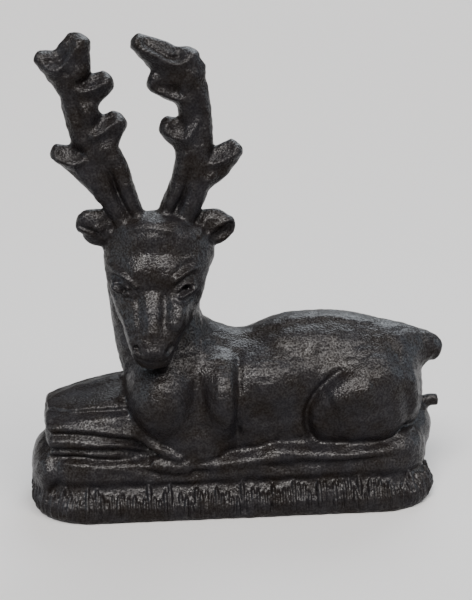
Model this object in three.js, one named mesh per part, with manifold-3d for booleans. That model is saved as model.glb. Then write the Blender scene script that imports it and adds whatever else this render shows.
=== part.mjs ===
// A cast iron stag, lying on a mound of grass beside a fallen log, with its head turned to face the viewer.
// It is one casting: animal, antlers, log, turf and grass are a single solid with a flat underside.
// Units are millimetres. +X runs along the base to the rump, -Y faces the viewer, +Z is up.
// The origin is the middle of the flat underside.
import * as THREE from 'three';
import { mergeVertices } from 'three/addons/utils/BufferGeometryUtils.js';
import Module from 'manifold-3d';

const wasm = await Module();
wasm.setup();

// Sizes of the grassy base.
const BASE_LENGTH = 300;
const BASE_DEPTH = 116;
const BASE_CORNER = 46;         // corner radius in plan
const FRINGE_HEIGHT = 26;       // floor to the mean height of the grass tips
const FRINGE_TUCK = 4;          // how far the foot of the grass is set in from its widest line
const BLADE_PITCH = 9.0;        // from one blade to the next around the edge
const BLADE_RELIEF = 1.6;       // from the crown of a blade to the gap beside it
const TURF_THICKNESS = 14;      // grass tips to the mean height of the turf
const TURF_SET_IN = 12;         // from the widest line of the grass to the rim of the turf, along the sides
const TURF_END_SHARE = 0.35;    // by how much of that the rim comes nearer at the two ends
const TURF_WAVE = 3;            // how far the rim of the turf wanders up and down

// The figure, which is the stag and its log, keeps its proportions at any height.
const FIGURE_HEIGHT = 301;      // turf to the highest antler tip
const DRAWN_HEIGHT = 301;       // the figure's points below are written for this height
const DRAWN_GROUND = 40;        // on a turf this far above the floor

const IRON = new THREE.MeshStandardMaterial({ color: 0x1c1b1d, roughness: 0.5, metalness: 0.6 });

const TURF_HEIGHT = FRINGE_HEIGHT + TURF_THICKNESS;
const UP = new THREE.Vector3(0, 0, 1);
const FRONT = new THREE.Vector3(0, -1, 0);

const figureFrame = new THREE.Matrix4()
  .makeTranslation(0, 0, TURF_HEIGHT)
  .multiply(new THREE.Matrix4().makeScale(...Array(3).fill(FIGURE_HEIGHT / DRAWN_HEIGHT)))
  .multiply(new THREE.Matrix4().makeTranslation(0, 0, -DRAWN_GROUND));

// Joins rings of points, all with the same count, into one closed skin. `hubs` close its two ends.
function skin(rings, hubs = []) {
  const count = rings[0].length;
  const points = rings.flat();
  const faces = [];
  for (let r = 0; r + 1 < rings.length; r++) {
    for (let k = 0; k < count; k++) {
      const a = r * count + k;
      const b = r * count + (k + 1) % count;
      faces.push(a, b, b + count, a, b + count, a + count);
    }
  }
  const middle = ring => ring.reduce((sum, p) => sum.add(p), new THREE.Vector3()).divideScalar(count);
  const bottomHub = points.push(hubs[0] ?? middle(rings[0])) - 1;
  const topHub = points.push(hubs[1] ?? middle(rings.at(-1))) - 1;
  const last = (rings.length - 1) * count;
  for (let k = 0; k < count; k++) {
    const next = (k + 1) % count;
    faces.push(next, k, bottomHub, last + k, last + next, topHub);
  }
  const geometry = new THREE.BufferGeometry().setFromPoints(points);
  geometry.setIndex(faces);
  return geometry;
}

// A fleshy limb along a smooth line. Each station is [x, y, z, half width, half height], and the section lies
// square to the line with its height towards `up`. `square` is the section's exponent, 2 for an ellipse. The
// ends are rounded over `dome` of the end's own thickness, through `caps` rings.
function limb(stations, options = {}) {
  const { up = UP, sides = 12, steps = 1, square = 2, dome = 0.6, caps = 1, relief = () => 1 } = options;
  const line = new THREE.CatmullRomCurve3(stations.map(([x, y, z]) => new THREE.Vector3(x, y, z)));
  const girth = new THREE.CatmullRomCurve3(stations.map(([, , , a, b]) => new THREE.Vector3(a, b, 0)));
  const ringAt = (t, shrink, push) => {
    const along = line.getTangent(t);
    const side = new THREE.Vector3().crossVectors(along, up).normalize();
    const lift = new THREE.Vector3().crossVectors(side, along);
    const middle = line.getPoint(t).addScaledVector(along, push);
    const { x: a, y: b } = girth.getPoint(t);
    return Array.from({ length: sides }, (_, k) => {
      const angle = 2 * Math.PI * k / sides;
      const [c, s] = [Math.cos(angle), Math.sin(angle)];
      const round = (Math.abs(c) ** square + Math.abs(s) ** square) ** (1 / square);
      const reach = shrink * relief(angle, t) / round;
      return middle.clone().addScaledVector(side, a * reach * c).addScaledVector(lift, b * reach * s);
    });
  };
  const spans = (stations.length - 1) * steps;
  const rings = Array.from({ length: spans + 1 }, (_, i) => ringAt(i / spans, 1, 0));
  const depth = t => dome * Math.min(girth.getPoint(t).x, girth.getPoint(t).y);
  for (let i = 1; i <= caps; i++) {
    const turn = Math.PI / 2 * i / (caps + 1);
    rings.unshift(ringAt(0, Math.cos(turn), -depth(0) * Math.sin(turn)));
    rings.push(ringAt(1, Math.cos(turn), depth(1) * Math.sin(turn)));
  }
  const hub = (t, push) => line.getPoint(t).addScaledVector(line.getTangent(t), push);
  return skin(rings, [hub(0, -depth(0)), hub(1, depth(1))]);
}

// A rounded lump of the given half sizes, turned about Y.
function lump([x, y, z], [a, b, c], turn = 0, detail = 2) {
  const ball = new THREE.IcosahedronGeometry(1, detail);
  ball.deleteAttribute('normal');
  ball.deleteAttribute('uv');
  return mergeVertices(ball, 1e-4).scale(a, b, c).rotateY(turn).translate(x, y, z);
}

// The faces of a skin, all turned over if they look inward.
function facesOutward(geometry) {
  const { position } = geometry.attributes;
  const faces = new Uint32Array(geometry.index.array);
  const corner = i => new THREE.Vector3().fromBufferAttribute(position, faces[i]);
  let volume = 0;
  for (let i = 0; i < faces.length; i += 3) {
    volume += corner(i).dot(corner(i + 1).cross(corner(i + 2)));
  }
  return volume > 0 ? faces : faces.toReversed();
}

function toSolid(geometry) {
  return new wasm.Manifold(new wasm.Mesh({
    numProp: 3,
    vertProperties: new Float32Array(geometry.attributes.position.array),
    triVerts: facesOutward(geometry),
  }));
}

const union = geometries => wasm.Manifold.union(geometries.map(toSolid));

function toGeometry(solid) {
  const { vertProperties, triVerts } = solid.getMesh();
  const geometry = new THREE.BufferGeometry();
  geometry.setAttribute('position', new THREE.BufferAttribute(vertProperties, 3));
  geometry.setIndex(new THREE.BufferAttribute(triVerts, 1));
  geometry.computeVertexNormals();
  return geometry;
}

// The base's plan is a rectangle with round corners. `share` runs once round its edge from 0 to 1.
const planCurve = new THREE.Shape();
{
  const [l, d, r] = [BASE_LENGTH / 2, BASE_DEPTH / 2, BASE_CORNER];
  planCurve.moveTo(l - r, -d);
  planCurve.absarc(l - r, -d + r, r, -Math.PI / 2, 0);
  planCurve.absarc(l - r, d - r, r, 0, Math.PI / 2);
  planCurve.absarc(-l + r, d - r, r, Math.PI / 2, Math.PI);
  planCurve.absarc(-l + r, -d + r, r, Math.PI, 1.5 * Math.PI);
  planCurve.closePath();
}

function planPoint(share, setIn) {
  const p = planCurve.getPointAt(share % 1);
  const along = planCurve.getTangentAt(share % 1);
  return new THREE.Vector2(p.x - along.y * setIn, p.y + along.x * setIn);
}

// How far the rim of the turf stands above its mean: high at the two ends, low under the chest.
function turfRise(x) {
  const bump = (middle, width) => Math.exp(-(((x / BASE_LENGTH - middle) / width) ** 2));
  const dips = 1.3 * bump(-0.15, 0.1) + 0.5 * bump(0.13, 0.05);
  return TURF_WAVE * (5 * (x / BASE_LENGTH) ** 2 + 1.1 * bump(0.01, 0.05) - dips);
}

// The base: grass blades side by side round the edge, a slope behind their tips, and the rim of the turf.
function base() {
  const blades = Math.round(planCurve.getLength() / BLADE_PITCH);
  const shares = Array.from({ length: 2 * blades }, (_, k) => k / (2 * blades));
  const grass = (height, setIn, relief, lift) => shares.map((share, k) => {
    const gap = k % 2;
    const p = planPoint(share, setIn + gap * relief);
    const uneven = Math.sin(2.4 * k) + Math.sin(1.1 * k);
    return new THREE.Vector3(p.x, p.y, height + lift * (uneven * 0.5 - 1.6 * gap));
  });
  const turf = (height, setIn, wave) => shares.map(share => {
    const edge = planPoint(share, 0);
    const nearer = 1 - TURF_END_SHARE * (2 * edge.x / BASE_LENGTH) ** 4;
    const p = planPoint(share, setIn * nearer);
    return new THREE.Vector3(p.x, p.y, height + wave * turfRise(edge.x));
  });
  return skin([
    grass(0, FRINGE_TUCK, 0, 0),
    grass(FRINGE_HEIGHT * 0.55, 0, BLADE_RELIEF, 0),
    grass(FRINGE_HEIGHT, 1.5, BLADE_RELIEF * 1.4, 2.2),
    turf(FRINGE_HEIGHT + TURF_THICKNESS * 0.3, TURF_SET_IN * 0.7, 0.3),
    turf(TURF_HEIGHT, TURF_SET_IN, 1),
    turf(TURF_HEIGHT + 2, TURF_SET_IN + 6, 0.8),
  ]);
}

// The fallen log under the neck, with ridges of bark along it, and the mound and stub behind the rump.
function log() {
  const bark = angle => 1 + 0.03 * Math.cos(9 * angle + 0.6);
  return [
    limb([
      [-133, 0, 55, 39, 22], [-114, 0, 57, 43, 27], [-90, 0, 58, 45, 32], [-66, 6, 58, 38, 34],
      [-44, 8, 58, 30, 30],
    ], { sides: 36, square: 2.1, dome: 0.2, relief: bark }),
    lump([133, 12, 44], [19, 30, 22]),
    limb([[140, 12, 56, 8, 7], [150, 11, 61, 4, 5], [157, 11, 61.5, 3.5, 4.5]], { sides: 7, dome: 0.3 }),
  ];
}

// The torso: a deep barrel with the narrower back lying along the top of it, and the rump.
function torso() {
  return [
    limb([
      [-50, 0, 78, 34, 38], [-20, -1, 76, 38, 38], [10, -2, 76, 40, 36], [40, -1, 77, 39, 36],
      [70, 1, 78, 37, 36], [98, 3, 80, 36, 38], [118, 5, 82, 30, 35],
    ], { sides: 18, square: 2.3, dome: 0.8, caps: 2 }),
    limb([
      [-40, 4, 124, 20, 20], [-20, 4, 112, 22, 20], [0, 4, 105, 23, 20], [18, 4, 106, 24, 20],
      [40, 4, 113, 25, 21], [62, 4, 115, 26, 21], [86, 4, 113, 26, 21], [108, 4, 107, 26, 21],
      [124, 4, 102, 18, 20],
    ], { sides: 14, square: 2.2, dome: 0.7, caps: 2 }),
  ];
}

// The hindquarters: thighs drawn up to the knee, the near foot along the turf, and the tail.
function hindquarters() {
  const thigh = (side, sides) => limb([
    [117, side * 12, 80, 24, 26], [103, side * 19, 79, 32, 27], [86, side * 22, 77, 31, 27],
    [70, side * 24, 74, 26, 24], [60, side * 26, 72, 17, 18],
  ], { up: FRONT, sides, square: 2.1, dome: 0.5, caps: 2 });
  return [
    thigh(-1, 18), thigh(1, 12),
    limb([[118, -36, 46, 7, 7], [92, -41, 43, 7, 6], [62, -43, 42, 7, 6], [45, -44, 43, 8, 7]], { sides: 8 }),
    limb([[120, 4, 110, 14, 14], [136, 4, 109, 12, 13], [147, 4, 107, 8, 11], [154, 4, 105, 4, 6]],
      { sides: 10, steps: 2 }),
  ];
}

// The forequarters: the foreleg folded under chest and shoulder, and the hoof that shows beside it.
// The side away from the viewer is plainer.
function forequarters() {
  const fold = (side, sides) => limb([
    [-38, side * 6, 109, 29, 25], [-38, side * 14, 96, 37, 27], [-38, side * 20, 78, 37, 27],
    [-36, side * 25, 60, 30, 24], [-33, side * 32, 46, 19, 17], [-31, side * 37, 39, 10, 11],
  ], { up: FRONT, sides, square: 2.1, dome: 0.4, caps: 2 });
  return [
    fold(-1, 18), fold(1, 12),
    lump([-52, -23, 84], [23, 26, 30], 0.2),
    lump([-15, -21, 90], [15, 24, 30], -0.1),
    limb([[-34, -42, 38, 7, 7], [-48, -45, 38, 6, 6], [-60, -46, 41, 4, 5]], { sides: 8 }),
  ];
}

function neck() {
  return limb([
    [-42, -2, 94, 35, 34], [-49, -4, 112, 34, 32], [-54, -4, 128, 32, 29], [-56, -2, 144, 32, 27],
    [-56, 0, 160, 34, 26], [-55, 2, 176, 34, 24], [-55, 2, 190, 30, 20],
  ], { up: FRONT, sides: 16 });
}

// The head hangs from the poll and looks at the viewer. Its parts are written as [across, out, height], from
// HEAD_AT on the axis of the neck, and the whole is turned by HEAD_TURN.
const HEAD_AT = new THREE.Vector3(-53.5, -8, 0);
const HEAD_TURN = THREE.MathUtils.degToRad(-9);
const headFrame = new THREE.Matrix4().makeTranslation(HEAD_AT)
  .multiply(new THREE.Matrix4().makeRotationZ(HEAD_TURN))
  .multiply(new THREE.Matrix4().makeBasis(new THREE.Vector3(1, 0, 0), FRONT, UP));

function head() {
  const face = new THREE.Vector3(0, 0.84, 0.54);
  const pair = build => [build(-1), build(1)];
  return [
    limb([
      [1, -6, 203, 28, 18], [1, 0, 193, 39, 23], [0, 8, 180, 37, 25], [0, 16, 167, 34, 25],
      [0, 24, 155, 30, 23], [0, 32, 144, 23, 20], [0, 41, 133, 17.5, 17], [0, 45, 126, 14, 13],
    ], { up: face, sides: 18, square: 2.2, dome: 0.6 }),
    limb([[0, 22, 176, 5, 12], [0, 34, 163, 5, 9], [0, 43, 151, 5, 9], [0, 49, 141, 8, 9], [0, 54, 134, 9, 8]],
      { up: face, sides: 8 }),
    limb([[0, 22, 138, 14, 12], [0, 38, 127, 13, 9], [0, 49, 120, 10, 6]], { up: face, sides: 10 }),
    ...pair(s => lump([s * 13, 19, 181], [16, 16, 14])),
    ...pair(s => limb([[s * 34, 12, 185, 3, 4], [s * 25, 27, 178, 4, 4.5], [s * 12, 33, 172, 3, 4]],
      { up: face, sides: 6, steps: 2 })),
  ].map(g => g.applyMatrix4(headFrame));
}

function headHollows() {
  const pair = build => [build(-1), build(1)];
  return [
    ...pair(s => lump([s * 25, 33, 171], [8.5, 7, 6], s * 0.15, 1)),
    ...pair(s => lump([s * 12, 57, 131], [3, 4, 2.5], 0, 0)),
  ].map(g => g.applyMatrix4(headFrame));
}

function eyes() {
  return [-1, 1].map(s => lump([s * 25, 26, 170.5], [6, 6.5, 5], 0, 1).applyMatrix4(headFrame));
}

// The antlers lie flat in one plane. Each beam is two strands side by side, and the outer one leaves as the
// lowest tine. Points are written [x, height, half width].
const ANTLER_PLANE = -12;
const flat = (stations, thickness = 10) => limb(
  stations.map(([x, z, half]) => [x, ANTLER_PLANE, z, half, Math.min(thickness, half * 1.6)]),
  { up: FRONT, sides: 8, square: 2.2 },
);

function antlers() {
  return [
    flat([[-47, 206, 7], [-40, 220, 7.5], [-34, 236, 7.5], [-32, 250, 8], [-32, 262, 9]]),
    flat([
      [-28, 204, 11], [-28, 218, 9.5], [-24, 234, 10], [-25, 250, 10.5], [-27, 266, 12.5], [-27, 282, 11.5],
      [-29, 298, 12], [-34, 312, 13],
    ], 11),
    flat([[-22, 240, 9], [-13, 249, 11], [-5, 256, 9], [0, 260, 6.5]]),
    flat([[-26, 268, 12], [-38, 272, 11], [-46, 277, 7]]),
    flat([[-28, 300, 12], [-42, 304, 10.5], [-54, 307, 7.5]]),
    flat([[-31, 308, 13], [-43, 318, 13], [-55, 327, 10], [-65, 334, 6]], 12),
    flat([[-34, 310, 13], [-33, 319, 14], [-32, 325, 9]], 12),

    flat([
      [-70, 206, 8.5], [-77, 222, 9], [-84, 238, 9], [-91, 254, 11], [-98, 270, 13.5], [-105, 288, 12],
      [-109, 304, 11], [-112, 316, 13],
    ], 11),
    flat([[-86, 204, 7], [-89, 222, 8], [-96, 239, 10], [-105, 250, 9], [-114, 256, 8], [-122, 259, 5.5]]),
    flat([[-98, 264, 12], [-88, 273, 11.5], [-81, 280, 8]]),
    flat([[-106, 295, 12], [-97, 302, 10.5], [-88, 307, 7.5]]),
    flat([[-111, 310, 13], [-122, 319, 10], [-131, 323.5, 5]], 12),
    flat([[-111, 312, 13], [-109, 324, 12.5], [-105, 335, 8.5]], 12),
  ];
}

// The hollow in the upper front of each tine and crown: [x, height], half length, half height and slope.
function antlerHollows() {
  const scoop = ([x, z], length, height, slope, y = ANTLER_PLANE - 12) => lump(
    [x, y, z], [length, 10, height], -THREE.MathUtils.degToRad(slope), 1);
  return [
    scoop([-38, 280], 13, 7, 0), scoop([-46, 306], 12, 5.5, -20), scoop([-8, 264], 11, 5, 22),
    scoop([-47, 334], 20, 8, -18, ANTLER_PLANE - 6),
    scoop([-90, 283], 13, 5.5, 26), scoop([-97, 313], 12, 4.5, 16), scoop([-112, 263], 11, 5.5, 5),
    scoop([-121, 331], 11, 10, 40, ANTLER_PLANE - 13),
  ];
}

// The ears stand straight out from behind the brow, broad and round, cupped to the front and down.
function ears() {
  const ear = (s, [x, z]) => limb([
    [x, -8, z, 9, 8], [x + s * 9, -11, z + 2, 13, 8], [x + s * 18, -13, z + 4, 13, 6],
    [x + s * 24, -13, z + 4, 8, 4],
  ], { up: FRONT, sides: 12, dome: 0.5 });
  return [ear(-1, [-84, 203]), ear(1, [-27, 202])];
}

function earHollows() {
  return [lump([-99, -21, 202], [11, 7, 6], -0.35, 1), lump([-11, -21, 200], [11, 7, 7], 0.35, 1)];
}

const inPlace = geometries => geometries.map(g => g.applyMatrix4(figureFrame));
const figure = union(inPlace([
  ...log(), ...torso(), ...hindquarters(), ...forequarters(), neck(), ...head(), ...antlers(), ...ears(),
]));
const carved = figure.subtract(union(inPlace([...headHollows(), ...antlerHollows(), ...earHollows()])));
const casting = toSolid(base()).add(carved).add(union(inPlace(eyes())));

const stag = new THREE.Mesh(toGeometry(casting), IRON);
stag.name = 'stag_on_grass_base';

const group = new THREE.Group();
group.add(stag);
export default group;
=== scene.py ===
# %% [markdown]
# # A cast iron stag
# The real thing is one iron casting, poured in sand and painted black: a stag lying on a grassy
# base beside a log. We first load the imported model of it, which fixes its size and place, and
# keep its box, to which the finished mesh is clipped.

# %% Load the imported model
import math
import bpy
import numpy as np
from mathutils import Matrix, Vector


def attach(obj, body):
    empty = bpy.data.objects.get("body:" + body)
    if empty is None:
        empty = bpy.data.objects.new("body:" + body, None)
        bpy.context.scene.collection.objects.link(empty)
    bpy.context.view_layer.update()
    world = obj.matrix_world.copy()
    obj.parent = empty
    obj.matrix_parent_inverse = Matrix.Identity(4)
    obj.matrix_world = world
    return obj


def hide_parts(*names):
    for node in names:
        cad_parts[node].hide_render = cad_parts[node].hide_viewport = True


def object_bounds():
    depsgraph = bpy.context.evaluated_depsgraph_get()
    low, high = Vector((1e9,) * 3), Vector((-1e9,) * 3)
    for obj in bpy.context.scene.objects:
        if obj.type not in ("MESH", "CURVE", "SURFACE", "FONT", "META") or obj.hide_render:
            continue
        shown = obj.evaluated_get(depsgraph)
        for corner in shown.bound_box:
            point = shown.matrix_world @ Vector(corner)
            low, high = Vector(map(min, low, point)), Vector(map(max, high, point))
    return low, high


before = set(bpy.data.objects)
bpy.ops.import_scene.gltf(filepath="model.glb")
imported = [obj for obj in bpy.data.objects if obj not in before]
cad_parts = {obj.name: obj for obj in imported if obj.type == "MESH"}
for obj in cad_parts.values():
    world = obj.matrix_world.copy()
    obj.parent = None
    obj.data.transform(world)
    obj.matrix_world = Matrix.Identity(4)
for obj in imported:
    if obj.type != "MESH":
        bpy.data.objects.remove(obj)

import openvdb
from mathutils import Vector

cad_box = [list(map(float, corner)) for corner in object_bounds()]
print("box of the packed model, m:", cad_box)

# %% [markdown]
# ## How the surface is made
# A casting has no seams: every form runs into the next through a soft hollow that the modeller's
# thumb left in the clay. So each form is made as a plain closed skin, turned into a field of
# distances, and the fields are joined with a soft minimum. At the end one mesh is drawn where the
# distance is nought. Lengths are millimetres until then.

# %% The work grid
VOXEL = 0.8       # side of one cell of the grid
BAND = 9.0                               # how far from a skin its distance is known
LOW = np.array([-154.0, -72.0, -4.0])
HIGH = np.array([162.0, 62.0, 345.0])
counts = np.ceil((HIGH - LOW) / VOXEL).astype(int) + 1
field = np.full(counts, BAND, np.float32)
across, depth, heights = (low + VOXEL * np.arange(count) for low, count in zip(LOW, counts))
print("cells in the work grid:", counts, "in all", field.size)

# %% [markdown]
# A limb is the basic form: a line through a few stations, each with the half width and half
# height of the section there. The line is smoothed, rings are set square to it, and both ends are
# closed with a dome.

# %% Limbs and lumps
FRONT = np.array([0.0, -1.0, 0.0])
UP = np.array([0.0, 0.0, 1.0])


def smooth_line(stations, steps):
    """Runs a Catmull-Rom curve through rows of numbers."""
    p = np.asarray(stations, float)
    p = np.vstack([2 * p[0] - p[1], p, 2 * p[-1] - p[-2]])
    t = (np.arange(steps) / steps)[:, None]
    spans = [
        0.5 * (2 * b + (c - a) * t + (2 * a - 5 * b + 4 * c - d) * t**2 + (3 * b - a - 3 * c + d) * t**3)
        for a, b, c, d in zip(p, p[1:], p[2:], p[3:])
    ]
    return np.vstack(spans + [p[-2:-1]])


def skin(rings, ends):
    """Closes rings of points, all of one count, into a skin: points, triangles and quads."""
    rows, count = len(rings), len(rings[0])
    points = np.vstack([*rings, *[np.reshape(e, (1, 3)) for e in ends]])
    k = np.arange(count)
    after = (k + 1) % count
    quads = [np.stack([r * count + k, r * count + after, (r + 1) * count + after, (r + 1) * count + k], 1)
             for r in range(rows - 1)]
    last = (rows - 1) * count
    fans = [np.stack([after, k, np.full(count, rows * count)], 1),
            np.stack([last + k, last + after, np.full(count, rows * count + 1)], 1)]
    return points, np.vstack(fans), np.vstack(quads)


def limb(stations, up=UP, sides=40, steps=8, square=2.0, dome=0.6, relief=None):
    """A fleshy limb: rows of x, y, z, half width, half height."""
    line = smooth_line(stations, steps)
    middle, girth = line[:, :3], line[:, 3:5]
    along = np.gradient(middle, axis=0)
    along /= np.linalg.norm(along, axis=1, keepdims=True)
    side = np.cross(along, np.asarray(up, float))
    side /= np.linalg.norm(side, axis=1, keepdims=True)
    lift = np.cross(side, along)
    angle = np.linspace(0, 2 * np.pi, sides, endpoint=False)
    c, s = np.cos(angle), np.sin(angle)
    reach = 1 / (np.abs(c) ** square + np.abs(s) ** square) ** (1 / square)

    def ring(i, shrink=1.0, push=0.0):
        wide, high = girth[i] * shrink
        r = reach if relief is None else reach * relief(angle, i / (len(line) - 1))
        centre = middle[i] + along[i] * push
        return centre + np.outer(wide * r * c, side[i]) + np.outer(high * r * s, lift[i])

    turns = np.linspace(0, np.pi / 2, 6)[1:-1]
    first, final = dome * girth[0].min(), dome * girth[-1].min()
    rings = [ring(0, np.cos(t), -first * np.sin(t)) for t in turns[::-1]]
    rings += [ring(i) for i in range(len(line))]
    rings += [ring(len(line) - 1, np.cos(t), final * np.sin(t)) for t in turns]
    return skin(rings, [middle[0] - along[0] * first, middle[-1] + along[-1] * final])


def lump(centre, half, turn=0.0):
    """An ellipsoid, turned about the depth axis by an angle in degrees that lifts its right end."""
    angle = math.radians(turn)
    wide = np.array([math.cos(angle), 0, math.sin(angle)]) * half[0]
    c = np.asarray(centre, float)
    stations = [[*(c + wide * t), half[1] * math.sqrt(1 - t * t), half[2] * math.sqrt(1 - t * t)]
                for t in np.sin(np.linspace(-1.35, 1.35, 13))]
    return limb(stations, steps=2, dome=0.12)


def moved(part, place):
    """The same skin with its points passed through a function."""
    return place(part[0]), part[1], part[2]


print("points in the skin of a plain lump:", len(lump([0, 0, 0], [10, 10, 10])[0]))

# %% [markdown]
# Two verbs do all the sculpting. `join` adds a form and fills the corner between it and what is
# there over a given width. `carve` takes a form away and rounds the lip of the cut. Both touch
# only the cells near the form.

# %% Joining and carving
cell_space = openvdb.createLinearTransform(VOXEL)


def distances(part):
    """The part of the grid that a skin reaches, and the signed distance to the skin there."""
    points, triangles, quads = part
    local = (points - LOW).astype(np.float32)
    grid = openvdb.FloatGrid.createLevelSetFromPolygons(
        local, triangles=triangles.astype(np.uint32), quads=quads.astype(np.uint32),
        transform=cell_space, halfWidth=BAND / VOXEL)
    low = np.clip(((local.min(0) - BAND) / VOXEL).astype(int), 0, counts - 1)
    high = np.clip(((local.max(0) + BAND) / VOXEL).astype(int) + 2, 1, counts)
    values = np.empty(high - low, np.float32)
    grid.copyToArray(values, ijk=tuple(int(v) for v in low))
    return tuple(slice(a, b) for a, b in zip(low, high)), values


def soft_min(a, b, width):
    """The smaller of two distances, rounded off where they are nearly the same."""
    if width <= 0:
        return np.minimum(a, b)
    share = np.clip(0.5 + 0.5 * (a - b) / width, 0, 1)
    return a * (1 - share) + b * share - width * share * (1 - share)


def join(part, width, into=None):
    """Adds a form, with a hollow of the given width where it meets what is there."""
    target = field if into is None else into
    where, values = distances(part)
    target[where] = soft_min(target[where], values, width)


def carve(part, width, out_of=None):
    """Takes a form away and rounds the lip of the cut."""
    target = field if out_of is None else out_of
    where, values = distances(part)
    target[where] = -soft_min(-target[where], values, width)


print("two forms 1 mm away make a wall at", soft_min(1.0, 1.0, 4.0), "mm when joined over 4 mm")

# %% [markdown]
# Creases, ridges and lids are too fine for that. A `stroke` is a line seen from the front, as x
# and height: along it the distances are shifted, which presses the surface in, or pushes it out
# where the shift is below nought. The stroke dies away at both ends, and behind a given depth
# nothing changes.

# %% Strokes
FADE = 2.6               # a stroke ends this many widths from its line
FAR = 99.0


def soft_step(t):
    """Rises from 0 to 1 with a soft start and a soft end."""
    t = np.clip(t, 0, 1)
    return t * t * (3 - 2 * t)


def near_line(points, reach):
    """The grid's columns near a line of x and height: which they are, how far off, and how far along it."""
    line = smooth_line(points, 6)
    box = [np.searchsorted(axis, [line[:, i].min() - reach, line[:, i].max() + reach])
           for i, axis in ((0, across), (1, heights))]
    x, z = np.meshgrid(across[slice(*box[0])], heights[slice(*box[1])], indexing="ij")
    gap = np.full(x.shape, FAR)
    along = np.zeros(x.shape)
    for i, (a, b) in enumerate(zip(line, line[1:])):
        run = b - a
        t = np.clip(((x - a[0]) * run[0] + (z - a[1]) * run[1]) / (run @ run), 0, 1)
        off = np.hypot(x - a[0] - t * run[0], z - a[1] - t * run[1])
        closer = off < gap
        gap = np.where(closer, off, gap)
        along = np.where(closer, (i + t) / (len(line) - 1), along)
    return slice(*box[0]), slice(*box[1]), gap, along


def stroke(target, points, width, shift, front=-14.0, taper=0.2):
    """Presses a line in, or out with a shift below nought, in front of a given depth."""
    columns, rows, gap, along = near_line(points, FADE * width)
    strength = shift * np.exp(-((gap / width) ** 2))
    if taper:
        strength *= 0.15 + 0.85 * soft_step(np.minimum(along, 1 - along) / taper)
    nearer = soft_step((front + 4 - depth) / 8)
    target[columns, :, rows] += (strength[:, None, :] * nearer[None, :, None]).astype(np.float32)


def strokes(target, table, **kinds):
    """Draws a table of strokes: the line, the width and the shift of each."""
    for points, width, shift in table:
        stroke(target, points, width, shift, **kinds)


print("a stroke 2 mm wide reaches", FADE * 2, "mm to each side")

# %% [markdown]
# ## The base
# The foot of the statue is a rounded bank. Its plan is a rectangle with very round corners, so we
# walk round that line once and note the outward direction at each point: everything on the bank
# is then a distance in from the line.

# %% The edge of the base
BASE_LENGTH = 300.0
BASE_DEPTH = 116.0
BASE_CORNER = 46.0


def edge_of_base(samples):
    """Points and outward directions round the plan of the base, evenly spaced."""
    l, d, r = BASE_LENGTH / 2 - BASE_CORNER, BASE_DEPTH / 2 - BASE_CORNER, BASE_CORNER
    corners = [(l, -d, -90), (l, d, 0), (-l, d, 90), (-l, -d, 180)]
    rows = []
    for x, y, start in corners:
        for a in np.radians(np.linspace(start, start + 90, 60)):
            rows.append([x + r * math.cos(a), y + r * math.sin(a), math.cos(a), math.sin(a)])
    rows = np.array(rows + rows[:1])
    run = np.concatenate([[0], np.cumsum(np.linalg.norm(np.diff(rows[:, :2], axis=0), axis=1))])
    at = np.linspace(0, run[-1], samples, endpoint=False)
    out = np.stack([np.interp(at, run, rows[:, i]) for i in range(4)], 1)
    out[:, 2:] /= np.linalg.norm(out[:, 2:], axis=1, keepdims=True)
    return out, run[-1]


print("once round the base, mm:", round(edge_of_base(8)[1], 1))

# %% [markdown]
# Seen from the side the bank swells just above the floor and then slopes back to the turf. A
# short table of heights and distances in gives that profile. The turf isn't level either: it dips
# under the chest and rises at both ends.

# %% Profile of the bank
# Height, and how far the surface stands in from the base's widest line there.
BANK = [
    [0, 4.6],
    [3, 2.4],
    [8, 1.2],
    [12, 1.2],
    [18, 4.4],
    [25, 8.6],
    [28, 9.8],
    [34, 11.2],
    [39, 14],
    [43, 20],
]


def turf_rise(x):
    """How much higher than the table the turf lies at a place along the base."""
    share = x / BASE_LENGTH

    def bump(middle, width):
        return np.exp(-(((share - middle) / width) ** 2))

    return 3 * (5 * share**2 - 1.3 * bump(-0.15, 0.1) + 1.1 * bump(0.01, 0.05) - 0.5 * bump(0.13, 0.05))


print("turf lifted at the end of the base, mm:", round(float(turf_rise(BASE_LENGTH / 2)), 1))

# %% [markdown]
# Grass hangs over the edge: upright blades side by side, with bright tips standing off a dark
# hollow behind them. Each blade gets its own height, depth, tilt and lean from a seeded random
# generator, because on the real casting no two are alike, and the same seed gives the same grass
# at every run.

# %% Grass and turf
BLADE = 3.7              # width of one blade
PER_BLADE = 10           # points across it
FRINGE = 20.5            # mean height of the tips
HOLLOW = 4.2             # how far the bank falls back behind the tips
BANK_TOP = 43.6
LAYER = 0.7              # height between two rings of the skin
rng = np.random.default_rng(7)


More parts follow.
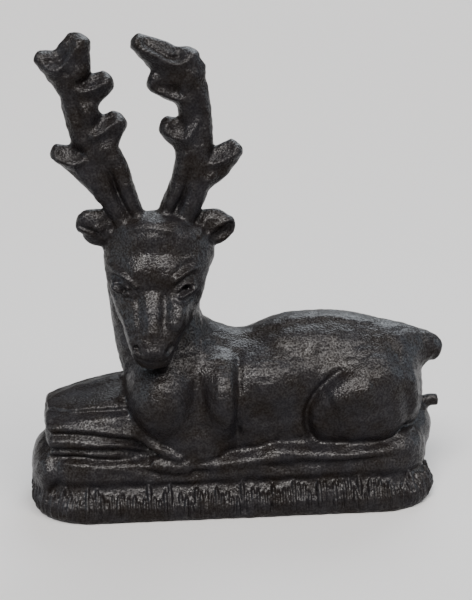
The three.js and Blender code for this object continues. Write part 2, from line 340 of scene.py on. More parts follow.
def base_skin():
    around = edge_of_base(8)[1]
    blades = int(round(around / BLADE))
    edge, _ = edge_of_base(blades * PER_BLADE)
    x, y, out_x, out_y = edge.T
    which = np.repeat(np.arange(blades), PER_BLADE)
    across_blade = np.tile((np.arange(PER_BLADE) + 0.5) / PER_BLADE * 2 - 1, blades)
    tip = (FRINGE + rng.normal(0, 3.6, blades).clip(-7, 6))[which]
    stand = rng.uniform(-1.3, 1.1, blades)[which]
    deep = rng.uniform(2.2, 3.6, blades)[which]
    tilt = rng.normal(0, 0.7, blades)[which]
    lean = rng.normal(0, 0.35, blades)[which]
    ends = 1 - 0.4 * (2 * x / BASE_LENGTH) ** 4
    rings = []
    for z in np.arange(0, BANK_TOP, LAYER):
        local = np.abs(across_blade + lean * (z - 14) / 14).clip(0, 1.3)
        smooth = np.interp(z, *np.transpose(BANK))
        smooth = smooth if z < 15 else 2 + (smooth - 2) * ends
        behind = smooth + HOLLOW * soft_step((31 - z) / 8) + 0.4 * np.sin(x * 0.21 + z * 0.2)
        blade = smooth + (deep * local**2 - stand + tilt * (z - 16) / 8) * soft_step((z - 1) / 8)
        blade = np.minimum(blade, behind)
        over = soft_step((z - tip + 4.5 * local) / 1.5)
        set_in = np.maximum(blade * (1 - over) + behind * over, 0)
        lift = turf_rise(x) * soft_step((z - 24) / 12)
        rings.append(np.column_stack([x - out_x * set_in, y - out_y * set_in, z + lift]))
    return skin(rings, [[0, 0, 0], [0, 0, rings[-1][:, 2].mean()]])


join(base_skin(), 0)
print("base laid down, solid cells:", int((field < 0).sum()))

# %% [markdown]
# ## The log
# Under the neck lies a fallen log. Its bark is torn into long strips with furrows between them,
# which fan out from under the chest. The log is one limb, and fine grain comes from waves in its
# section.

# %% Log
LOG = [
    [-133, 0, 55, 39, 22],
    [-114, 0, 57, 43, 27],
    [-90, 0, 58, 45, 32],
    [-66, 6, 58, 38, 34],
    [-44, 8, 58, 30, 30],
]


def grain(angle, t):
    a = angle + 0.12 * np.sin(5 * t + 1.3 * angle)
    return 1 + 0.008 * np.cos(19 * a + 4 * t)


join(limb(LOG, sides=240, steps=14, square=2.1, dome=0.2, relief=grain), 2.0)
print("log laid down, solid cells:", int((field < 0).sum()))

# %% [markdown]
# Each furrow in the bark is a stroke pressed in from the front, and each strip between two
# furrows is a stroke raised a little, so that it catches the light. They run from the sawn end to
# the chest and get closer as they go.

# %% Bark
FURROWS = [
    ([[-140, 80], [-114, 83], [-97, 87], [-76, 92]], 2.6, 2.4),
    ([[-140, 73], [-120, 75], [-98, 77.5], [-74, 78]], 1.8, 1.9),
    ([[-128, 67.5], [-114, 69], [-98, 69], [-80, 66]], 1.4, 0.7),
    ([[-141, 61], [-119, 62.5], [-98, 62], [-80, 58], [-58, 48]], 2.4, 3.2),
    ([[-141, 51], [-112, 52], [-84, 50.5], [-54, 43]], 2.2, 2.8),
    ([[-136, 46], [-108, 46], [-80, 41], [-60, 38]], 1.8, 1.6),
]
STRIPS = [
    ([[-134, 91], [-110, 92], [-86, 99]], 2.4, -1.2),
    ([[-136, 58], [-110, 57.5], [-84, 56], [-62, 48]], 2.4, -1.2),
    ([[-136, 67], [-112, 68], [-86, 65.5], [-66, 57]], 2.4, -1.2),
    ([[-132, 42], [-106, 41], [-82, 37], [-60, 33]], 2.4, -1.2),
]
strokes(field, FURROWS, front=-2, taper=0.06)
strokes(field, STRIPS, front=-2)
print("bark:", len(FURROWS), "furrows and", len(STRIPS), "strips")

# %% [markdown]
# The turf swells up at both ends of the base, and at the right one a short cut branch sticks out.
# Between the log and the chest the ground is filled, and a thin ridge marks the edge of the
# folded foreleg.

# %% Mound, stub and foreleg
GROUND_BY_CHEST = [[-76, -26, 50, 8, 10], [-64, -30, 46, 8, 9], [-54, -35, 42, 8, 9], [-42, -37, 38, 7, 7]]
FORELEG_EDGE = [
    [-75, -36, 71, 3, 3.5],
    [-65, -40, 58, 3.5, 3.5],
    [-54, -44, 50, 3.5, 3.5],
    [-42, -46, 44.5, 3, 3],
]
STUB = [[140, 12, 56, 8, 7], [150, 11, 61, 4, 5], [157, 11, 61.5, 3.5, 4.5]]
join(lump([-134, -6, 31], [14, 35, 20], 4), 6)
join(limb(GROUND_BY_CHEST), 5)
join(limb(FORELEG_EDGE), 3.5)
join(lump([133, 12, 44], [19, 30, 22]), 8)
join(lump([119, -22, 45], [17, 19, 11]), 8)
join(limb(STUB, dome=0.15), 2)
print("mound and stub added, solid cells:", int((field < 0).sum()))

# %% [markdown]
# ## The body
# The barrel of the trunk is broad and low, and the back lies along the top of it as a narrower
# ridge, so that a long shallow groove runs under the spine. Wide blends keep the two from looking
# like two sausages.

# %% Trunk, back and tail
body = np.full_like(field, BAND)
TRUNK = [
    [-50, 0, 78, 34, 38],
    [-20, -1, 76, 38, 38],
    [10, -2, 76, 40, 36],
    [40, -1, 77, 39, 36],
    [70, 1, 78, 37, 36],
    [98, 3, 80, 36, 38],
    [118, 5, 82, 30, 35],
]
BACK = [
    [-40, 4, 123.5, 21, 20],
    [-20, 4, 111, 24, 20],
    [0, 4, 104, 27, 20],
    [18, 4, 105, 29, 20],
    [40, 4, 112, 30, 21],
    [62, 4, 114, 30, 21],
    [86, 4, 112.3, 30, 21],
    [108, 4, 106.5, 28, 21],
    [124, 4, 102, 19, 20],
]
TAIL = [[118, 4, 109, 15, 15], [134, 4, 108, 13.5, 13], [146, 4, 106, 11, 11.5], [152, 4, 104, 8, 8.5]]
join(limb(TRUNK, sides=60, square=4.8, dome=0.8), 0, body)
join(limb(BACK, sides=60, square=2.2, dome=0.7), 11, body)
join(limb(TAIL), 8, body)
print("trunk, back and tail, solid cells:", int((body < 0).sum()))

# %% [markdown]
# The thighs are drawn up beside the belly and stand proud of it. The shoulder is one large drop.
# Both sides are made alike, by one loop, though only the near side shows in the photograph.

# %% Thighs and shoulders
for side in (-1, 1):
    thigh = [
        [117, side * 12, 80, 24, 26],
        [103, side * 19, 79, 33, 27],
        [86, side * 22, 77, 32, 27],
        [70, side * 24, 72, 28, 24],
        [59, side * 26, 67, 21, 18],
    ]
    shoulder = [
        [-38, side * 6, 109, 29, 25],
        [-38, side * 14, 96, 37, 27],
        [-38, side * 20, 78, 37, 27],
        [-33, side * 25, 62, 33, 24],
        [-29, side * 30, 51, 28, 20],
        [-27, side * 34, 41, 20, 15],
    ]
    join(limb(thigh, up=FRONT, sides=60, square=2.9, dome=0.5), 9, body)
    join(limb(shoulder, up=FRONT, sides=60, square=2.1, dome=0.45), 7, body)
print("thighs and shoulders, solid cells:", int((body < 0).sum()))

# %% [markdown]
# Three swellings make the near side alive: the chest and the shoulder blade, with a shallow
# valley between them, and the belly behind the crease. Strokes then draw the creases of shoulder
# and thigh and the groove below the spine.

# %% Swellings and creases
join(lump([-53, -27, 85], [24, 30, 29], -14), 10, body)
join(lump([-10, -27.5, 85], [18, 29, 28], 6), 10, body)
join(lump([23, -18, 91], [25, 26, 21]), 12, body)
SHOULDER_VALLEY = [[-34, 112], [-30, 100], [-29, 84], [-31, 66], [-32, 48]]
THIGH_CREASE = [[84, 107], [72, 101], [59, 91], [51, 78], [50, 66], [54, 54], [62, 45]]
SHOULDER_CREASE = [[2, 116], [0, 100], [-1, 82], [-1, 66], [2, 48]]
SPINE_GROOVE = [[-14, 125], [12, 124], [40, 130], [70, 130], [96, 124], [112, 116]]
RUMP_HOLLOW = [[104, 126], [112, 118], [116, 106], [118, 94]]
THIGH_SWELL = [[64, 82], [80, 89], [98, 90]]
BEHIND_THIGH = [[119, 96], [123, 76], [122, 60], [112, 48]]
BODY_STROKES = [
    (THIGH_CREASE, 3.2, 3.6),
    (SHOULDER_CREASE, 3.6, 3.2),
    (SPINE_GROOVE, 6.5, 2.4),
    (RUMP_HOLLOW, 4.0, 0.9),
    (THIGH_SWELL, 10.0, -3.2),
    (BEHIND_THIGH, 4.0, 1.8),
]
stroke(body, SHOULDER_VALLEY, 9.5, 2.3, front=-6, taper=0.5)
strokes(body, BODY_STROKES, front=-6)
field = soft_min(field, body, 2.5)
print("body joined to the base, with", len(BODY_STROKES) + 1, "strokes")

# %% [markdown]
# Below the animal the turf makes a low ledge, which runs the whole length of the front just above
# the grass. It is a flat limb, lit along its top and dark beneath. The tip of the folded hoof
# lies on it under the chest.

# %% Ledge and hoof
LEDGE = [
    [130, -14, 42, 12, 5],
    [118, -28, 43, 14, 5.5],
    [96, -34, 43.5, 15, 5.5],
    [68, -35, 42.5, 15, 5.5],
    [40, -34, 44, 15, 6],
    [20, -34, 42, 15, 5.5],
    [0, -34, 39.5, 14, 5],
    [-30, -34, 38, 14, 4.5],
    [-60, -33, 38.5, 14, 4.5],
    [-96, -31, 40, 14, 4],
    [-116, -26, 40, 13, 4],
    [-128, -16, 38, 10, 3],
]
HOOF = [[-38, -42, 37, 6, 5.5], [-50, -44, 38, 5, 4.5], [-60, -44, 41, 4, 4]]
join(lump([56, -2, 42], [84, 42, 12]), 8)
join(limb(LEDGE, square=2.2, dome=0.3), 4)
join(lump([30, -41, 44], [15, 7, 6]), 5)
join(limb(HOOF), 4)
print("ledge and hoof added, solid cells:", int((field < 0).sum()))

# %% [markdown]
# ## The head
# The face looks straight at the viewer, long and broad-browed. We write its stations as across,
# out and height from the axis of the neck, and one function then turns them all by the same
# angle. The neck rises straight out of the chest, so it is written in the grid's own axes.

# %% Neck, skull and muzzle
HEAD_AT = np.array([-53.5, -8.0, 0.0])
HEAD_TURN = math.radians(-9)
FACE = np.array([0, 0.84, 0.54])


def on_head(points):
    u, v, w = points.T
    x, y = u, -v
    return HEAD_AT + np.stack([x * math.cos(HEAD_TURN) - y * math.sin(HEAD_TURN),
                               x * math.sin(HEAD_TURN) + y * math.cos(HEAD_TURN), w], 1)


def head_limb(stations, **kinds):
    return moved(limb(stations, up=FACE, **kinds), on_head)


def head_lump(centre, half, turn=0.0):
    return moved(lump(centre, half, turn), on_head)


NECK = [
    [-42, -2, 94, 35, 34],
    [-49, -4, 112, 34, 32],
    [-54, -4, 128, 32, 29],
    [-56, -2, 144, 32, 27],
    [-56, 0, 160, 34, 26],
    [-55, 2, 176, 34, 24],
    [-55, 2, 190, 30, 20],
]
SKULL = [
    [1, -6, 203, 28, 18],
    [1, 0, 193, 39, 22],
    [0, 10, 180, 37, 24],
    [0, 13.5, 166, 34, 24],
    [0, 16.5, 158, 31.5, 23.5],
    [0, 25, 149, 27, 22],
    [0, 34.5, 140, 21, 19.5],
    [0, 40.5, 133, 18, 17],
    [0, 45, 126, 14.5, 13],
]
CHIN = [[0, 22, 138, 14, 12], [0, 36, 126, 13, 9], [0, 44, 119, 10, 6]]
BRIDGE = [
    [0, 18, 170, 5.5, 9],
    [0, 27, 159.5, 5.5, 9],
    [0, 34.5, 152, 6, 9],
    [0, 41, 145, 6.5, 9],
    [0, 46.5, 138, 7, 7],
    [0, 51, 128.5, 9.5, 7],
]
head = np.full_like(field, BAND)
join(limb(NECK, up=FRONT, sides=60), 0, head)
join(head_limb(SKULL, sides=60, square=2.2), 2, head)
join(head_limb(CHIN), 4, head)
join(head_limb(BRIDGE, square=3), 5, head)
print("neck and skull, solid cells:", int((head < 0).sum()))

# %% [markdown]
# The brow is built up from soft bulges. Each eye is a ball in a shallow socket: the socket is
# carved first, and then the ball is joined with almost no hollow round it, so that its edge stays
# crisp.

# %% Brow and eyes
BROW = [[0, 17, 190, 21, 12], [0, 23.5, 181, 21, 13], [0, 25.5, 174, 18, 12]]
CHEEK = [[15, 24, 168, 7, 8], [16.5, 35.5, 153.5, 7.5, 8], [14.5, 43, 144, 6.5, 8]]
join(head_lump([0, 13, 200], [26, 18, 12]), 9, head)
join(head_lump([0, 12, 208], [21, 17, 8]), 6, head)
for side in (-1, 1):
    join(head_lump([side * 10.5, 26, 176], [13.5, 12, 13.5]), 4, head)
join(head_limb(BROW, square=2.6), 4, head)
carve(head_lump([-24.5, 37.7, 169], [7.5, 6, 4.4], -24), 2.5, head)
join(head_lump([-24.5, 28.6, 169], [5, 6.4, 3.6], -24), 0.4, head)
carve(head_lump([24, 37.8, 169.3], [7.8, 6.8, 4.8], 24), 2.5, head)
join(head_lump([24, 28.4, 169.3], [5, 6.4, 3.5], 24), 0.4, head)
join(head_limb(CHEEK, square=3.2), 4, head)
print("brow and eyes, solid cells:", int((head < 0).sum()))

# %% [markdown]
# The rest of the face is drawn with strokes at its front, as a modeller would with a wire tool:
# ridges that fall from the temples, lids, the hollows beside the bridge, nostrils and mouth. The
# table reads from the brow down.

# %% Face
FACE_STROKES = [
    # brow ridges, and the grooves above and below them
    ([[-68, 170], [-73, 173], [-81, 178.5], [-90, 183]], 1.9, -2.3),
    ([[-47, 173], [-40, 178.5], [-33, 182], [-27, 182.5]], 1.9, -2.3),
    ([[-71, 177], [-79, 183], [-89, 188]], 1.7, 0.9),
    ([[-47, 178.5], [-40, 184], [-31, 187]], 1.7, 0.9),
    ([[-71, 169], [-76, 174], [-82, 176.5], [-89, 177]], 1.3, 1.2),
    ([[-46, 170], [-40, 175], [-33, 177.5], [-27, 177]], 1.3, 1.2),
    # lids
    ([[-74, 167.5], [-78, 171.2], [-83, 173], [-89, 172.5]], 1.3, -1.6),
    ([[-44, 166.5], [-39.5, 171.3], [-34, 173.5], [-28, 173.5]], 1.3, -2.2),
    ([[-75, 166.3], [-79, 165.3], [-84, 166.6], [-89, 171]], 1.3, -1.6),
    ([[-43, 165.5], [-38, 165.1], [-32, 167.4], [-28, 172]], 1.3, -2.2),
    ([[-71, 164], [-77, 161.3], [-82, 161.4], [-86, 163.5]], 1.6, 1.0),
    ([[-46, 164.5], [-40, 161.3], [-35, 161.2], [-31, 163.5]], 1.6, 1.0),
    # bridge of the nose, the hollows beside it and the cheeks
    ([[-60, 156], [-60.5, 152], [-60.5, 147], [-60.5, 140]], 4.5, -1.0),
    ([[-69, 167], [-69, 160], [-68.5, 152], [-67.5, 142]], 3.3, 2.2),
    ([[-74, 165], [-75, 157], [-74, 148], [-71, 140]], 6.5, 2.0),
    ([[-51, 168], [-51.5, 161], [-52, 152], [-53.5, 141]], 3.3, 2.6),
    ([[-46, 163], [-42, 157], [-44, 150]], 5.0, -1.6),
    ([[-84, 162], [-77, 159.5], [-70, 155]], 1.5, -0.9),
    ([[-84, 157], [-80, 148], [-76, 138], [-73, 128]], 1.6, -1.0),
    # nose pad, nostrils and mouth
    ([[-67, 142], [-60, 138], [-53, 141]], 3.0, 0.5),
    ([[-65, 129], [-60, 130], [-54, 129]], 3.0, -0.4),
    ([[-73, 134], [-70, 131.5], [-68.5, 128]], 1.7, 2.4),
    ([[-46, 134], [-49, 130.5], [-52, 127]], 2.1, 3.0),
    ([[-74, 131], [-71, 125.5], [-65, 122.5], [-58, 121.5], [-52, 122.5], [-47, 126], [-44, 131]], 1.3, 0.9),
    ([[-60, 129], [-60, 123]], 1.0, 0.9),
    # the crease between the forehead and the horns
    ([[-90, 205], [-76, 206], [-60, 208], [-44, 206], [-28, 205]], 1.8, 0.7),
]
RIGHT_PUPIL = [[-36.4, 169.8], [-34.4, 169.4]]
strokes(head, FACE_STROKES, front=-20)
stroke(head, RIGHT_PUPIL, 1.9, 2.6, front=-20, taper=0)
field = soft_min(field, head, 6)
print("head joined to the body, with", len(FACE_STROKES) + 1, "strokes")

# %% [markdown]
# ## Ears and antlers
# The ears stand out behind the brow, and each is one limb that narrows to its tip. The right one
# is cupped towards the front, so it is carved out, and strokes give both a rim and a fold.

# %% Ears
LEFT_EAR = [
    [-86, -8, 204, 13, 9],
    [-95, -11, 206.5, 13.5, 8],
    [-103, -13, 209.5, 10.5, 7],
    [-108, -13, 210, 6.5, 5],
]
RIGHT_EAR = [
    [-24, -8, 203, 13, 9],
    [-14, -11, 205, 13, 8],
    [-7, -13, 206, 10.5, 7],
    [-2, -13, 206.5, 6.5, 5],
]
EAR_STROKES = [
    ([[-111, 210], [-105, 208], [-97, 204.5], [-92, 200]], 1.5, 2.6),
    ([[-108, 202], [-100, 197], [-94, 193]], 4.2, 2.0),
    ([[-98, 209.5], [-91, 205]], 2.4, -1.8),
    ([[-21, 199], [-13, 207], [-4, 211], [1, 208]], 1.4, -1.4),
    ([[-27, 200], [-23, 206], [-20, 214]], 2.2, -1.6),
]
join(limb(LEFT_EAR, up=FRONT, dome=0.5), 3)
join(limb(RIGHT_EAR, up=FRONT, dome=0.5), 3)
carve(lump([-8.5, -20, 202.5], [11, 5.5, 4.6], 38), 1.5)
strokes(field, EAR_STROKES)
print("ears set behind the brow, solid cells:", int((field < 0).sum()))

# %% [markdown]
# The antlers were moulded flat, so all of their limbs lie in one upright plane, and a station
# needs only a place across, a height and a half width. Each antler has a thin and a thick strand
# side by side, then its tines, and a crown of two points at the top. The table gives the
# stations, the thickness and the width of the joint.

# %% Antlers
PLANE = -12.0
RIGHT_ANTLER = [
    ([[-50, 202, 5.5], [-49, 213, 5.5], [-45, 222, 6], [-40, 232, 6.5],
      [-36, 243, 7], [-34, 254, 7], [-32, 266, 9]], 10, 0),
    ([[-39, 202, 9], [-36, 212, 8.5], [-31, 222, 8.5], [-28, 232, 9.5], [-26, 244, 10.5],
      [-25, 254, 11], [-27, 268, 12.5], [-27, 282, 11.5], [-29, 298, 12], [-34, 312, 13]], 11, 5),
    ([[-22, 240, 9], [-13, 249, 11], [-5, 256, 9], [1, 261, 6.5]], 10, 3),
    ([[-26, 268, 12], [-38, 272, 11], [-47, 277, 7]], 10, 3),
    ([[-28, 300, 12], [-42, 304, 10.5], [-55, 307.5, 7.5]], 10, 3),
    ([[-31, 308, 13], [-43, 318, 13], [-55, 327, 10], [-66, 334, 6]], 12, 3),
    ([[-34, 310, 13], [-33, 319, 14], [-32, 325, 9]], 12, 3),
]
LEFT_ANTLER = [
    ([[-66, 202, 6], [-68, 213, 6], [-72, 222, 6.5],
      [-76, 235, 6.5], [-80, 248, 7], [-88, 262, 8]], 10, 4),
    ([[-75, 202, 8], [-78, 212, 7.5], [-84, 223, 7.5], [-89, 233, 8.5], [-92, 244, 10],
      [-95, 256, 12], [-99, 270, 13.5], [-105, 288, 12], [-109, 304, 11], [-112, 316, 13]], 11, 5),
    ([[-95, 238, 8], [-105, 249, 9], [-114, 256, 8], [-123, 260, 5.5]], 10, 5),
    ([[-98, 264, 12], [-88, 273, 11.5], [-80, 281, 8]], 10, 3),
    ([[-106, 295, 12], [-97, 302, 10.5], [-87, 308, 7.5]], 10, 3),
    ([[-111, 310, 13], [-122, 319, 10], [-132, 324, 5]], 12, 3),
    ([[-111, 312, 13], [-109, 324, 12.5], [-105, 335, 8.5]], 12, 3),
]


def flat(stations, thickness):
    """A limb in the plane of the antlers."""
    rows = [[x, PLANE, z, half, min(thickness, half * 1.6)] for x, z, half in stations]
    return limb(rows, up=FRONT, square=2.2)


horns = np.full_like(field, BAND)
for stations, thickness, width in RIGHT_ANTLER + LEFT_ANTLER:
    join(flat(stations, thickness), width, horns)
print("antlers, limbs:", len(RIGHT_ANTLER + LEFT_ANTLER), "solid cells:", int((horns < 0).sum()))

# %% [markdown]
# Each tine and crown is cupped like a hand: a raised lip crosses its front, and above the lip the
# front half is pressed back, so that the rear half stands up behind it. The loop makes the cup,
# the hollow under it and the lip from one line and a measure of room.

# %% Cups of the tines
ABOVE_LIP = 1.35         # cup and hollow lie this many rooms above and below the lip
LIPS = [
    ([[-111, 302], [-97, 303], [-85, 310]], 4.2),
    ([[-103, 268], [-90, 275], [-78, 282]], 4.6),
    ([[-125, 257], [-111, 252.5], [-101, 258]], 4.4),
    ([[-131, 319], [-119, 316.5], [-110, 326], [-104, 337]], 6.0),
    ([[-50, 274], [-35, 269], [-23, 284]], 5.0),
    ([[-58, 304], [-44, 296.5], [-34, 296]], 4.4),
    ([[3, 260], [-8, 253.5], [-20, 250]], 4.4),
    ([[-66, 332], [-57, 327], [-40, 319.5], [-29, 325]], 5.5),
]
for lip, room in LIPS:
    cup = [[x, z + ABOVE_LIP * room] for x, z in lip]
    under = [[x, z - ABOVE_LIP * room] for x, z in lip]
    stroke(horns, cup, room, 3.6, taper=0.3)
    stroke(horns, under, 0.85 * room, 1.8, taper=0.45)
    stroke(horns, lip, 2.2, -1.6, taper=0.2)
print("cups made:", len(LIPS))

# %% [markdown]
# Deep furrows part the two strands of each beam, and raised lines beside them catch the light.
# The antlers are then joined to the head, and a low burr is raised where each one leaves the
# forehead.

# %% Furrows of the beams
BEAM_STROKES = [
    ([[-65, 203], [-71, 212], [-77, 222], [-82, 232], [-86, 244], [-92, 258]], 2.6, 1.8),
    ([[-50, 203], [-45, 212], [-39, 223], [-35, 232], [-32, 243], [-31, 256]], 2.6, 1.8),
    ([[-64, 335], [-55, 329.5], [-42, 323], [-34, 326]], 1.8, 2.6),
    ([[-129, 323], [-119, 321.5], [-112, 329]], 1.8, 2.0),
    ([[-99, 262], [-106, 284], [-111, 306]], 2.6, 2.0),
    ([[-24, 262], [-25, 284], [-31, 308]], 2.6, 2.0),
    ([[-92, 258], [-97, 278], [-103, 294]], 2.6, -1.4),
    ([[-32, 258], [-33, 280], [-37, 296]], 2.6, -1.4),
    ([[-112, 312], [-117, 318], [-118, 326]], 2.4, 1.6),
    ([[-104, 262], [-112, 284], [-117, 304]], 2.4, -1.0),
    ([[-17, 262], [-18, 284], [-23, 306]], 2.4, -1.0),
    ([[-12, 246], [-20, 236], [-24, 222]], 2.4, -1.2),
    ([[-104, 246], [-98, 234], [-94, 220]], 2.4, -1.2),
]
BURRS = [
    ([[-92, 199], [-85, 203], [-78, 206], [-71, 208]], 2.8, -1.1),
    ([[-53, 209], [-42, 206], [-30, 204], [-18, 207]], 2.8, -1.1),
]
strokes(horns, BEAM_STROKES)
field = soft_min(field, horns, 3)
strokes(field, BURRS)
print("antlers set on the head, solid cells:", int((field < 0).sum()))

# %% [markdown]
# ## The founder's hand
# No surface on a casting like this is true: clay and sand leave it slightly uneven. A sum of
# waves in many directions, a centimetre or so long and a few tenths of a millimetre high, gives
# that.

# %% Unevenness
NEAR = 3.5               # only cells this close to the surface are touched
WAVES = 18
SWELL = 0.055            # height of one wave
near = np.argwhere(np.abs(field) < NEAR)
place = LOW + VOXEL * near
swell = np.zeros(len(near))
for _ in range(WAVES):
    direction = rng.normal(size=3)
    direction /= np.linalg.norm(direction)
    swell += np.sin(place @ direction * (2 * np.pi / rng.uniform(5, 14)) + rng.uniform(0, 6.28))
field[tuple(near.T)] += (SWELL * swell).astype(np.float32)
print("unevenness, mm either way:", round(float(SWELL * np.abs(swell).max()), 2))

# %% [markdown]
# ## From field to mesh
# The mesh is drawn where the distance is nought. First the underside is cut flat, so that the
# casting stands well, and afterwards its points are brought from the grid's millimetres to
# Blender's metres.

# %% Draw the surface
UNDERSIDE = 0.15         # the flat underside is cut here
field = np.maximum(field, (UNDERSIDE - heights)[None, None, :].astype(np.float32))
grid = openvdb.FloatGrid(BAND)
grid.copyFromArray(np.ascontiguousarray(field), tolerance=0.0)
grid.transform = cell_space
points, quads = grid.convertToQuads(0.0)
points = np.clip((points + LOW) / 1000, *cad_box)
quads = quads[:, ::-1]
print("points drawn:", len(points), "quads drawn:", len(quads))

# %% [markdown]
# That gives far more faces than the form needs. Blender's Decimate modifier takes away the ones
# that matter least: the flat places end with few, and the eyes, the grass and the bark keep
# theirs.

# %% Thin the mesh
FACES = 190000


def mesh_of(name, points, quads):
    """A smooth mesh made straight from arrays."""
    mesh = bpy.data.meshes.new(name)
    mesh.vertices.add(len(points))
    mesh.vertices.foreach_set("co", np.ascontiguousarray(points, np.float32).ravel())
    mesh.loops.add(quads.size)
    mesh.loops.foreach_set("vertex_index", np.ascontiguousarray(quads, np.int32).ravel())
    mesh.polygons.add(len(quads))
    mesh.polygons.foreach_set("loop_start", np.arange(0, quads.size, 4, dtype=np.int32))
    mesh.polygons.foreach_set("use_smooth", np.ones(len(quads), bool))
    mesh.update(calc_edges=True)
    mesh.validate()
    return mesh


stag = bpy.data.objects.new("stag_casting", mesh_of("stag_casting", points, quads))
bpy.context.scene.collection.objects.link(stag)
thin = stag.modifiers.new("thin", "DECIMATE")
thin.ratio = min(1.0, FACES / (2 * len(quads)))
thinned = bpy.data.meshes.new_from_object(stag.evaluated_get(bpy.context.evaluated_depsgraph_get()))
stag.modifiers.clear()
stag.data = thinned
stag.data.polygons.foreach_set("use_smooth", np.ones(len(stag.data.polygons), bool))
print("faces kept:", len(stag.data.polygons))

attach(stag, "root")
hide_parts("stag_on_grass_base")

# %% [markdown]
# ## Black paint on sand-cast iron
# The sand left a pebbly skin, and the paint over it is half glossy, so every highlight breaks
# into speckles. One fine noise does that twice: it raises the bumps, and it polishes their tops.
# Faces that turn downward are also made less shiny, which is painted shade, not a real finish.
# The paint shifts a little between brown and grey, and it is worn brighter along the ridges.

# %% Finish
BROWN_PAINT = (0.010, 0.0075, 0.0065, 1)
GREY_PAINT = (0.014, 0.013, 0.015, 1)
WORN_PAINT = (0.06, 0.056, 0.056, 1)
PEBBLES = 720            # pebbles to the metre, roughly
PEBBLE_DEPTH = 0.0011


def cast_iron(name):
    material = bpy.data.materials.new(name)
    material.use_nodes = True
    nodes, links = material.node_tree.nodes, material.node_tree.links
    shader = nodes["Principled BSDF"]
    where = nodes.new("ShaderNodeTexCoord").outputs["Object"]

    def noise(scale, detail, rough=0.5):
        node = nodes.new("ShaderNodeTexNoise")
        node.inputs["Scale"].default_value = scale
        node.inputs["Detail"].default_value = detail
        node.inputs["Roughness"].default_value = rough
        links.new(where, node.inputs["Vector"])
        return node.outputs["Fac"]

    def ramp(source, low, high, first, second):
        node = nodes.new("ShaderNodeMapRange")
        node.inputs["From Min"].default_value = low
        node.inputs["From Max"].default_value = high
        node.inputs["To Min"].default_value = first
        node.inputs["To Max"].default_value = second
        links.new(source, node.inputs["Value"])
        return node.outputs["Result"]

    tint = nodes.new("ShaderNodeMix")
    tint.data_type = "RGBA"
    tint.inputs["A"].default_value = BROWN_PAINT
    tint.inputs["B"].default_value = GREY_PAINT
    links.new(ramp(noise(60, 5), 0.35, 0.65, 0, 1), tint.inputs["Factor"])
    worn = nodes.new("ShaderNodeMix")
    worn.data_type = "RGBA"
    worn.inputs["B"].default_value = WORN_PAINT
    links.new(tint.outputs["Result"], worn.inputs["A"])
    geometry = nodes.new("ShaderNodeNewGeometry")
    links.new(ramp(geometry.outputs["Pointiness"], 0.53, 0.62, 0, 0.5), worn.inputs["Factor"])
    links.new(worn.outputs["Result"], shader.inputs["Base Color"])
    links.new(ramp(noise(90, 3), 0.3, 0.7, 0.33, 0.41), shader.inputs["Roughness"])

    pebbles = noise(PEBBLES, 1)
    facing = nodes.new("ShaderNodeSeparateXYZ")
    links.new(geometry.outputs["Normal"], facing.inputs["Vector"])
    polish_and_painted_shade = nodes.new("ShaderNodeMath")
    polish_and_painted_shade.operation = "MULTIPLY"
    links.new(ramp(pebbles, 0.36, 0.64, 0.14, 0.62), polish_and_painted_shade.inputs[0])
    # painted shade: the shine falls off as the surface turns downward, so undersides stay dark
    links.new(ramp(facing.outputs["Z"], -0.1, 0.5, 0.28, 1), polish_and_painted_shade.inputs[1])
    links.new(polish_and_painted_shade.outputs["Value"], shader.inputs["Specular IOR Level"])

    bump = nodes.new("ShaderNodeBump")
    bump.inputs["Distance"].default_value = PEBBLE_DEPTH
    height = nodes.new("ShaderNodeSeparateXYZ")
    links.new(where, height.inputs["Vector"])
    links.new(ramp(height.outputs["Z"], 0.19, 0.24, 0.48, 0.75), bump.inputs["Strength"])
    links.new(pebbles, bump.inputs["Height"])
    links.new(bump.outputs["Normal"], shader.inputs["Normal"])
    return material


stag.data.materials.clear()
stag.data.materials.append(cast_iron("iron"))
print("finish:", stag.data.materials[0].name, "with", len(stag.data.materials[0].node_tree.nodes), "nodes")

# %% [markdown]
# ## Floor, light and camera
# The statue stands on a pale floor. Three broad, soft suns play the windows of the room: two warm
# ones above and in front, and a cool one behind. A weak cool panel at each side gives the edges
# their sheen.

# %% Stage
MIDDLE = Vector((0, 0, 0.13))            # the panels look at this point


def panel(name, at, size, power, colour):
    """A rectangle of light that looks at the statue."""
    light = bpy.data.lights.new(name, "AREA")
    light.shape = "RECTANGLE"
    light.size, light.size_y = size
    light.energy = power
    light.color = colour
    thing = bpy.data.objects.new(name, light)
    thing.location = at
    thing.rotation_euler = (MIDDLE - Vector(at)).to_track_quat("-Z", "Y").to_euler()
    bpy.context.scene.collection.objects.link(thing)


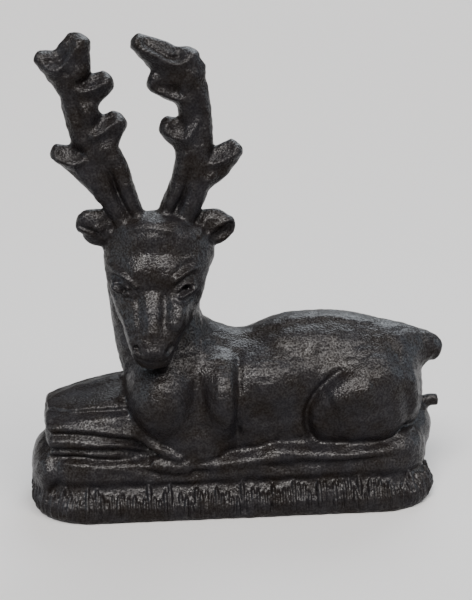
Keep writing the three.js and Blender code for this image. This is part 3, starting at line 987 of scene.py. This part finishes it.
def floor():
    """A pale floor that counts as stage, so it isn't part of the casting."""
    mesh = bpy.data.meshes.new("floor")
    mesh.from_pydata([(-9, -6, 0), (9, -6, 0), (9, 12, 0), (-9, 12, 0)], [], [(0, 1, 2, 3)])
    thing = bpy.data.objects.new("floor", mesh)
    bpy.context.scene.collection.objects.link(thing)
    material = bpy.data.materials.new("floor")
    material.use_nodes = True
    nodes, links = material.node_tree.nodes, material.node_tree.links
    shader = nodes["Principled BSDF"]
    grain = nodes.new("ShaderNodeTexNoise")
    grain.inputs["Scale"].default_value = 3
    mix = nodes.new("ShaderNodeMix")
    mix.data_type = "RGBA"
    mix.inputs["A"].default_value = (0.80, 0.80, 0.80, 1)
    mix.inputs["B"].default_value = (0.84, 0.84, 0.84, 1)
    links.new(grain.outputs["Fac"], mix.inputs["Factor"])
    links.new(mix.outputs["Result"], shader.inputs["Base Color"])
    shader.inputs["Roughness"].default_value = 0.8
    mesh.materials.append(material)


def sky(name, tilt, lean, power, spread, colour):
    """A sun as wide as a window: its tilt, lean and spread are in degrees."""
    light = bpy.data.lights.new(name, "SUN")
    light.energy = power
    light.angle = math.radians(spread)
    light.color = colour
    thing = bpy.data.objects.new(name, light)
    thing.rotation_euler = (math.radians(tilt), math.radians(lean), 0)
    bpy.context.scene.collection.objects.link(thing)


floor()
sky("window left", 35, -18, 3.0, 28, (1, 0.96, 0.93))
sky("window right", 30, 26, 1.6, 34, (1, 0.95, 0.91))
sky("window behind", -46, 22, 1.5, 38, (0.88, 0.94, 1))
panel("left", (-1.2, -0.1, 0.5), (0.4, 0.8), 2.5, (0.7, 0.86, 1))
panel("right", (1.2, 0.1, 0.5), (0.4, 0.8), 2.5, (0.7, 0.86, 1))

world = bpy.data.worlds.new("room")
bpy.context.scene.world = world
world.use_nodes = True
room = world.node_tree.nodes["Background"]
room.inputs["Color"].default_value = (1, 1, 1, 1)
room.inputs["Strength"].default_value = 0.12

# %% [markdown]
# The camera stands a metre away, a little left of the front, and looks down. Its two angles, its
# lens and the point it looks at were found by fitting the base's outline in the photograph, so
# that picture and render lie one over the other.

# %% Camera
AZIMUTH = math.radians(-5.8)
ELEVATION = math.radians(16)
DISTANCE = 1.0
aim = np.array([0.0026, 0, 0.1474])
back = np.array([
    math.sin(AZIMUTH) * math.cos(ELEVATION),
    -math.cos(AZIMUTH) * math.cos(ELEVATION),
    math.sin(ELEVATION),
])
camera = bpy.data.objects.new("camera", bpy.data.cameras.new("camera"))
camera.data.lens = 82.86
camera.data.sensor_width = 36
camera.data.sensor_fit = "AUTO"
camera.location = aim + back * DISTANCE
camera.rotation_euler = (math.pi / 2 - ELEVATION, 0, AZIMUTH)
bpy.context.scene.collection.objects.link(camera)
bpy.context.scene.camera = camera
print("camera at", [round(v, 3) for v in camera.location])
